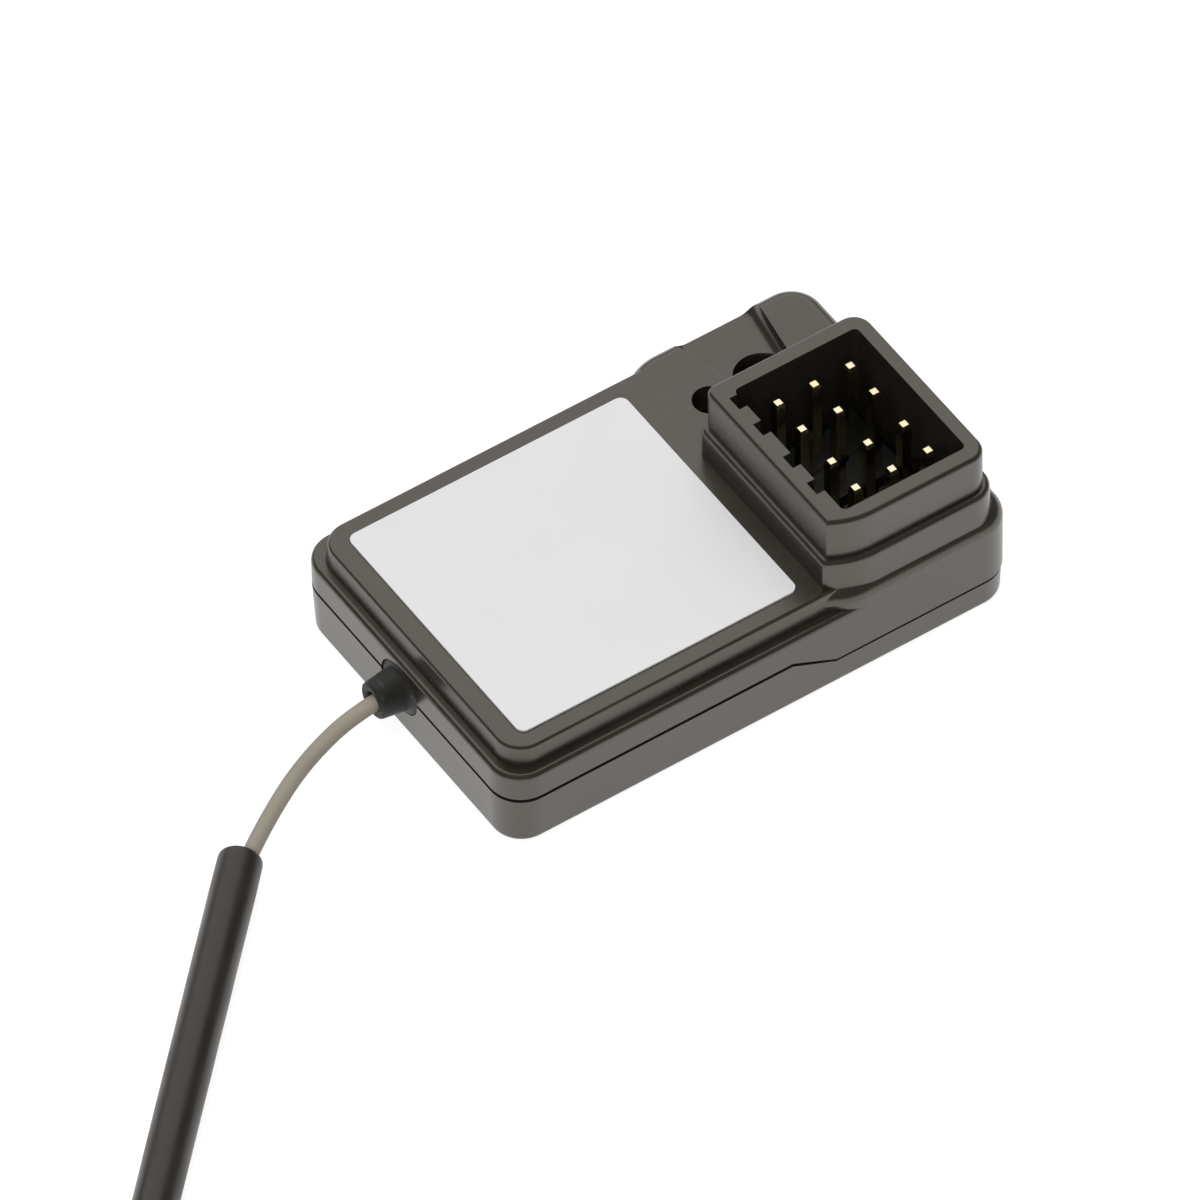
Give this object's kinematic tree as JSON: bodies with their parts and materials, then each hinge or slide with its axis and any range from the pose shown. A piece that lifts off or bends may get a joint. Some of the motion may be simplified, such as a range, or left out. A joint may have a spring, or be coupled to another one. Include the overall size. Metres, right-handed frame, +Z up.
{
  "type": "rc receiver",
  "caption": "Radio-control receiver in a dark two-part case with a blank label, a keyed servo socket full of header pins, and a thin coaxial antenna lead that ends in a sleeve.",
  "frame": {"origin": "middle of the case's underside, the antenna and its grommet left out", "axes": "+X from the antenna end to the socket end, +Y towards the long side with the case screw, +Z up, the way the socket opens"},
  "size_m": [0.072, 0.0383, 0.0125],
  "materials": {
    "case_plastic": "satin, fine grain",
    "label": "smooth",
    "black_screw": "black oxide",
    "board": "solder mask",
    "header_plastic": "moulded",
    "pin_gold": "gold plated",
    "solder": "bright",
    "grommet_rubber": "matte",
    "coax_jacket": "satin",
    "sleeve_plastic": "satin",
    "chip_plastic": "moulded",
    "crystal_can": "satin",
    "capacitor_yellow": "moulded",
    "ceramic": "fired",
    "led_lens": "clear"
  },
  "bodies": {
    "root": {"lower_shell": "case_plastic", "upper_shell": "case_plastic", "case_label": "label", "case_screw": "black_screw", "circuit_board": "board", "channel_1_base": "header_plastic", "channel_2_base": "header_plastic", "channel_3_base": "header_plastic", "battery_base": "header_plastic", "channel_1_pins": "pin_gold", "channel_2_pins": "pin_gold", "channel_3_pins": "pin_gold", "battery_pins": "pin_gold", "header_solder": "solder", "coax_solder": "solder", "antenna_grommet": "grommet_rubber", "antenna_coax": "coax_jacket", "antenna_sleeve": "sleeve_plastic", "radio_chip": "chip_plastic", "microcontroller": "chip_plastic", "voltage_regulator": "chip_plastic", "radio_crystal": "crystal_can", "input_capacitor": "capacitor_yellow", "ceramic_capacitors": "ceramic", "chip_resistors": "chip_plastic", "matching_inductors": "ceramic", "status_led": "led_lens"}
  },
  "joints": []
}
